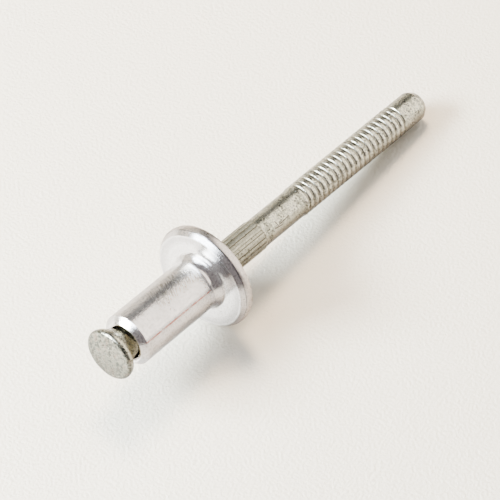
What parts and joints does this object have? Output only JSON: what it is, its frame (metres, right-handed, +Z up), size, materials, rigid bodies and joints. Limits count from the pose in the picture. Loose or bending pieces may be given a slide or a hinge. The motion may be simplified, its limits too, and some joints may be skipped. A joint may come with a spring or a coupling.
{
  "type": "blind rivet",
  "caption": "Unset blind rivet: an aluminium tube body with a wide domed flange on a splined and grooved steel mandrel.",
  "frame": {"origin": "on the ground, under the middle of the rivet as it lies on its flange's rim and the end of its stem", "axes": "+X from the mandrel's head to the end of its stem, along the ground; +Y to the left of that; +Z up. The rivet's own axis dips 6.94 degrees towards the stem's end."},
  "size_m": [0.0554, 0.013, 0.0129],
  "materials": {
    "body_aluminium": "bright, cold formed, with fine rubbing marks",
    "mandrel_zinc": "zinc plated, mottled and slightly pitted"
  },
  "bodies": {
    "root": {"rivet_body": "body_aluminium", "mandrel": "mandrel_zinc"}
  },
  "joints": []
}
